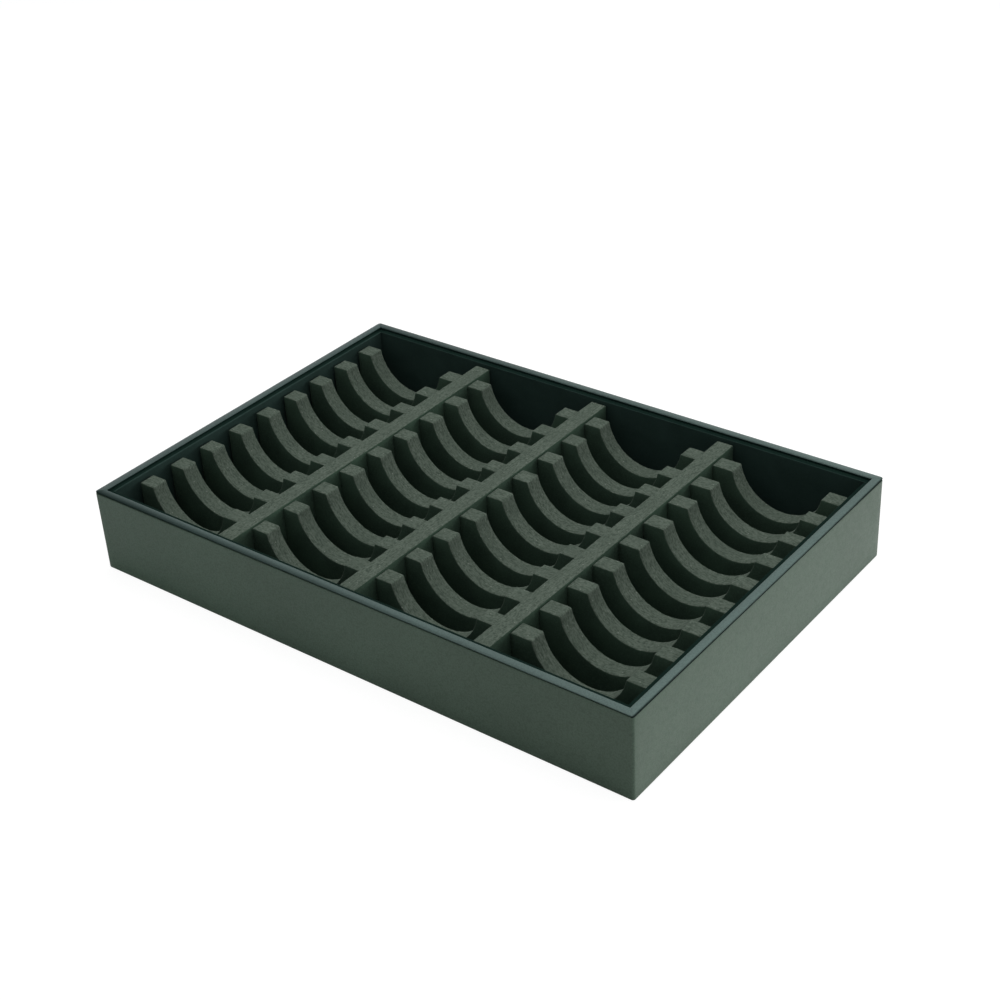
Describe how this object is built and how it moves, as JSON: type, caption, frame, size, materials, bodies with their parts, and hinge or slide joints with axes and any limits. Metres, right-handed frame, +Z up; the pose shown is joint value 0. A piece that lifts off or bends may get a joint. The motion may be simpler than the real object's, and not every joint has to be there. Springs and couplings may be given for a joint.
{
  "type": "jewelry storage tray",
  "caption": "Open rectangular jewelry tray with a wrapped board shell, velvet lining and a lift-out foam grid of half-round slots for bangles.",
  "frame": {"origin": "middle of the tray on the surface it stands on", "axes": "+X along the long side to the right, +Y to the back, +Z up"},
  "size_m": [0.35, 0.24, 0.05],
  "materials": {
    "shell_board": "matte",
    "wrap_leatherette": "satin",
    "rim_leatherette": "satin",
    "lining_card": "matte",
    "lining_velvet": "matte",
    "bottom_felt": "matte",
    "grid_foam": "matte"
  },
  "bodies": {
    "tray": {"base_board": "shell_board", "front_wall_board": "shell_board", "back_wall_board": "shell_board", "left_wall_board": "shell_board", "right_wall_board": "shell_board", "outer_wrap": "wrap_leatherette", "bottom_cover": "bottom_felt", "floor_card": "lining_card", "floor_velvet": "lining_velvet", "front_rim_strip": "rim_leatherette", "front_wall_card": "lining_card", "front_wall_velvet": "lining_velvet", "back_rim_strip": "rim_leatherette", "back_wall_card": "lining_card", "back_wall_velvet": "lining_velvet", "left_rim_strip": "rim_leatherette", "left_wall_card": "lining_card", "left_wall_velvet": "lining_velvet", "right_rim_strip": "rim_leatherette", "right_wall_card": "lining_card", "right_wall_velvet": "lining_velvet"},
    "foam_grid": {"rib_1": "grid_foam", "rib_2": "grid_foam", "rib_3": "grid_foam", "rib_4": "grid_foam", "rib_5": "grid_foam", "rib_6": "grid_foam", "rib_7": "grid_foam", "rib_8": "grid_foam", "rib_9": "grid_foam", "divider_1": "grid_foam", "divider_2": "grid_foam", "divider_3": "grid_foam"}
  },
  "joints": [
    {"name": "grid_lift", "type": "slide", "parent": "tray", "child": "foam_grid", "axis": [0, 0, 1], "range_m": [0, 0.055]}
  ]
}
